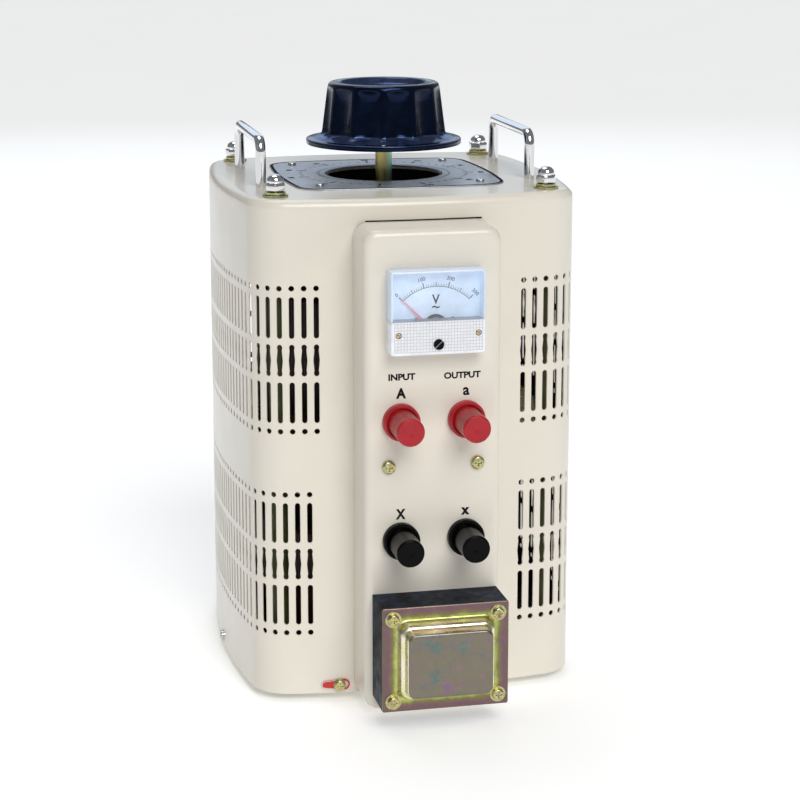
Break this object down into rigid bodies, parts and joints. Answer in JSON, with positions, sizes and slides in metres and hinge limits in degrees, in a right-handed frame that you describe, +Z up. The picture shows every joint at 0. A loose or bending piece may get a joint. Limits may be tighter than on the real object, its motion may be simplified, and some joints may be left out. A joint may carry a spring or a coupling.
{
  "type": "variable autotransformer",
  "caption": "Tall vented bench voltage regulator with top knob and dial, front voltmeter, binding posts and balance choke.",
  "frame": {"origin": "centre of the footprint on the floor, on the shaft axis", "axes": "+Z up along the shaft, front panel faces -Y, +X to the right seen from the front"},
  "size_m": [0.2476, 0.3299, 0.4165],
  "materials": {
    "cream_paint": "baked enamel, satin",
    "chrome_plate": "polished",
    "zinc_steel": "yellow passivated zinc",
    "bright_steel": "plain",
    "dial_aluminium": "anodised, printed",
    "black_phenolic": "gloss moulded",
    "black_plastic": "satin",
    "red_plastic": "satin moulded",
    "brass_metal": "turned",
    "copper_wire": "enamelled winding",
    "core_steel": "varnished laminations",
    "clear_acrylic": "clear",
    "white_plastic": "moulded grid",
    "meter_paper": "printed",
    "rubber_black": "matt",
    "aluminium_cast": "plain",
    "carbon": "graphite",
    "brown_board": "laminate",
    "red_wire": "insulation"
  },
  "bodies": {
    "frame": {"rubber_feet": "rubber_black", "base_plate": "zinc_steel", "casing": "cream_paint", "casing_screws": "zinc_steel", "top_cover": "cream_paint", "tie_rods": "zinc_steel", "rod_spacers": "bright_steel", "mid_plate": "zinc_steel", "flat_washers": "zinc_steel", "spring_washers": "bright_steel", "acorn_nuts": "chrome_plate", "carry_handles": "chrome_plate", "handle_nuts": "bright_steel", "dial_plate": "dial_aluminium", "dial_screws": "bright_steel", "coil_rings": "brown_board", "coil_cores": "core_steel", "coil_windings": "copper_wire", "clamp_rings": "brown_board", "clamp_bolts": "zinc_steel", "hub_bushes": "brass_metal", "panel_housing": "cream_paint", "terminal_board": "brown_board", "panel_screws": "zinc_steel", "red_post_bases": "red_plastic", "black_post_bases": "black_plastic", "post_studs": "brass_metal", "post_nuts": "brass_metal", "meter_case": "black_plastic", "meter_dial": "meter_paper", "meter_cover": "clear_acrylic", "meter_apron": "white_plastic", "meter_screws": "brass_metal", "choke_core": "core_steel", "choke_winding": "copper_wire", "choke_bell": "zinc_steel", "choke_screws": "zinc_steel", "choke_washers": "zinc_steel", "earth_tag": "red_plastic", "earth_screw": "zinc_steel", "lead_wires": "red_wire"},
    "rotor": {"shaft": "zinc_steel", "knob": "black_phenolic", "knob_screw": "bright_steel", "rotor_discs": "aluminium_cast", "brush_holders": "brass_metal", "lower_brush_spring": "bright_steel", "upper_brush_spring": "bright_steel"},
    "black_input_cap_body": {"black_input_cap": "black_plastic"},
    "black_input_washer_body": {"black_input_washer": "brass_metal"},
    "black_output_cap_body": {"black_output_cap": "black_plastic"},
    "black_output_washer_body": {"black_output_washer": "brass_metal"},
    "lower_brush_body": {"lower_brush": "carbon"},
    "meter_adjuster_body": {"meter_adjuster": "black_plastic"},
    "meter_needle_body": {"meter_needle": "red_plastic"},
    "red_input_cap_body": {"red_input_cap": "red_plastic"},
    "red_input_washer_body": {"red_input_washer": "brass_metal"},
    "red_output_cap_body": {"red_output_cap": "red_plastic"},
    "red_output_washer_body": {"red_output_washer": "brass_metal"},
    "upper_brush_body": {"upper_brush": "carbon"}
  },
  "joints": [
    {"name": "knob_turn", "type": "hinge", "parent": "frame", "child": "rotor", "pos_m": [0, 0, 0.35], "axis": [0, 0, -1], "range_deg": [0, 331]},
    {"name": "lower_brush_slide", "type": "slide", "parent": "rotor", "child": "lower_brush_body", "axis": [0, 0, 1], "range_m": [0, 0.001], "stiffness_N_per_m": 400, "springref_m": -0.004, "deforming": ["lower_brush_spring"]},
    {"name": "upper_brush_slide", "type": "slide", "parent": "rotor", "child": "upper_brush_body", "axis": [0, 0, 1], "range_m": [0, 0.001], "stiffness_N_per_m": 400, "springref_m": -0.004, "deforming": ["upper_brush_spring"]},
    {"name": "needle_swing", "type": "hinge", "parent": "frame", "child": "meter_needle_body", "pos_m": [0, -0.162, 0.2671], "axis": [0, 1, 0], "range_deg": [0, 90], "stiffness_Nm_per_rad": 0.0001, "springref_deg": -5.73},
    {"name": "zero_adjust", "type": "hinge", "parent": "frame", "child": "meter_adjuster_body", "pos_m": [0, -0.172, 0.2609], "axis": [0, -1, 0], "range_deg": [-20, 20]},
    {"name": "red_input_travel", "type": "slide", "parent": "frame", "child": "red_input_washer_body", "axis": [0, -1, 0], "range_m": [0, 0.007]},
    {"name": "red_input_turn", "type": "hinge", "parent": "red_input_washer_body", "child": "red_input_cap_body", "pos_m": [-0.0222, -0.16, 0.2065], "axis": [0, -1, 0], "range_deg": [0, 2520]},
    {"name": "red_output_travel", "type": "slide", "parent": "frame", "child": "red_output_washer_body", "axis": [0, -1, 0], "range_m": [0, 0.007]},
    {"name": "red_output_turn", "type": "hinge", "parent": "red_output_washer_body", "child": "red_output_cap_body", "pos_m": [0.0222, -0.16, 0.2065], "axis": [0, -1, 0], "range_deg": [0, 2520]},
    {"name": "black_input_travel", "type": "slide", "parent": "frame", "child": "black_input_washer_body", "axis": [0, -1, 0], "range_m": [0, 0.007]},
    {"name": "black_input_turn", "type": "hinge", "parent": "black_input_washer_body", "child": "black_input_cap_body", "pos_m": [-0.0222, -0.16, 0.1247], "axis": [0, -1, 0], "range_deg": [0, 2520]},
    {"name": "black_output_travel", "type": "slide", "parent": "frame", "child": "black_output_washer_body", "axis": [0, -1, 0], "range_m": [0, 0.007]},
    {"name": "black_output_turn", "type": "hinge", "parent": "black_output_washer_body", "child": "black_output_cap_body", "pos_m": [0.0222, -0.16, 0.1247], "axis": [0, -1, 0], "range_deg": [0, 2520]}
  ],
  "couplings": [
    {"joint": "red_input_travel", "follows": "red_input_turn", "m_per_rad": 0.00015915},
    {"joint": "red_output_travel", "follows": "red_output_turn", "m_per_rad": 0.00015915},
    {"joint": "black_input_travel", "follows": "black_input_turn", "m_per_rad": 0.00015915},
    {"joint": "black_output_travel", "follows": "black_output_turn", "m_per_rad": 0.00015915}
  ]
}
